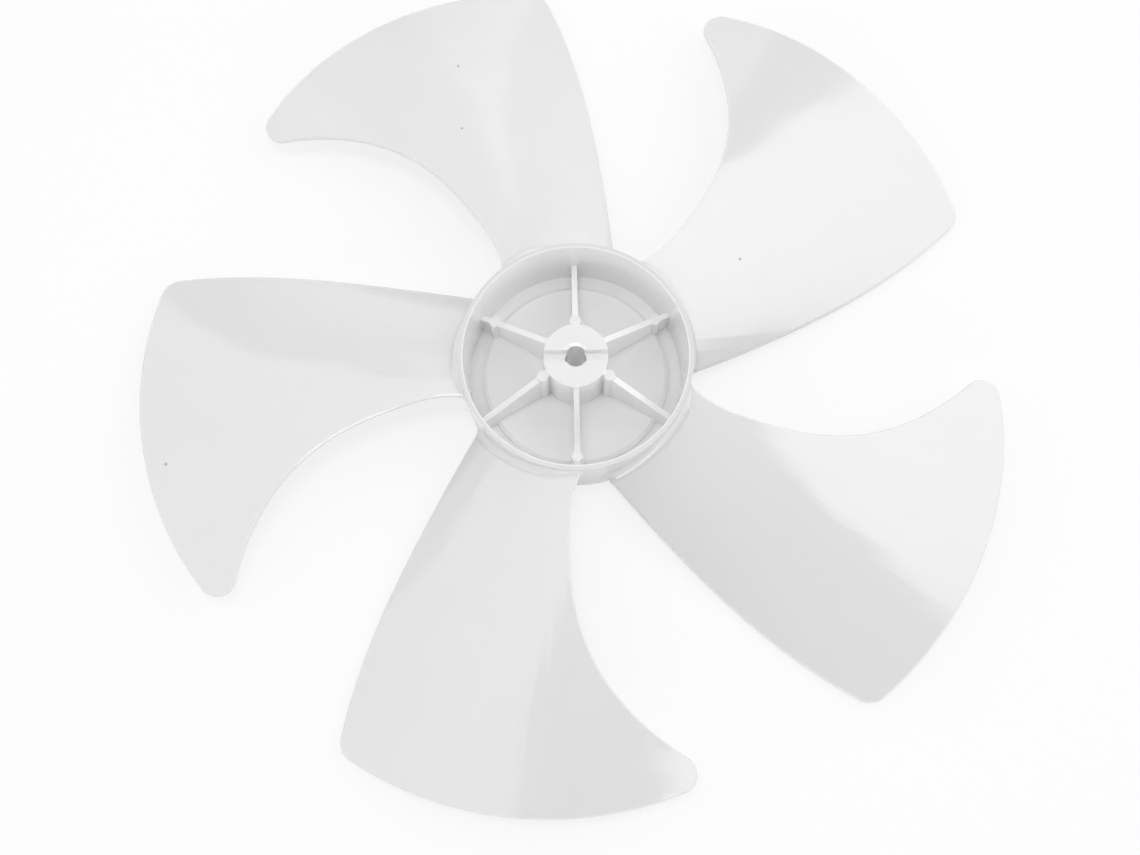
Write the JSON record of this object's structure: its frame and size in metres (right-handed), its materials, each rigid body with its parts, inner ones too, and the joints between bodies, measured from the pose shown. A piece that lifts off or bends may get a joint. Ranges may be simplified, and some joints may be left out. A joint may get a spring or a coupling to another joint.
{
  "type": "pedestal fan blade",
  "caption": "Moulded fan impeller: swept, twisted blades on an open cup hub whose ribbed boss takes the motor shaft and its drive pin, with a flat front for the retaining nut.",
  "frame": {"origin": "on the shaft axis, at the front of the hub that the nut is tightened against", "axes": "+Z along the shaft to the motor side, where the hub is open; +Y along the first rib; the first blade's axis along -X"},
  "size_m": [0.3381, 0.3419, 0.033],
  "materials": {
    "blade_plastic": "gloss, natural white, slightly translucent"
  },
  "bodies": {
    "root": {"fan_blade": "blade_plastic"}
  },
  "joints": []
}
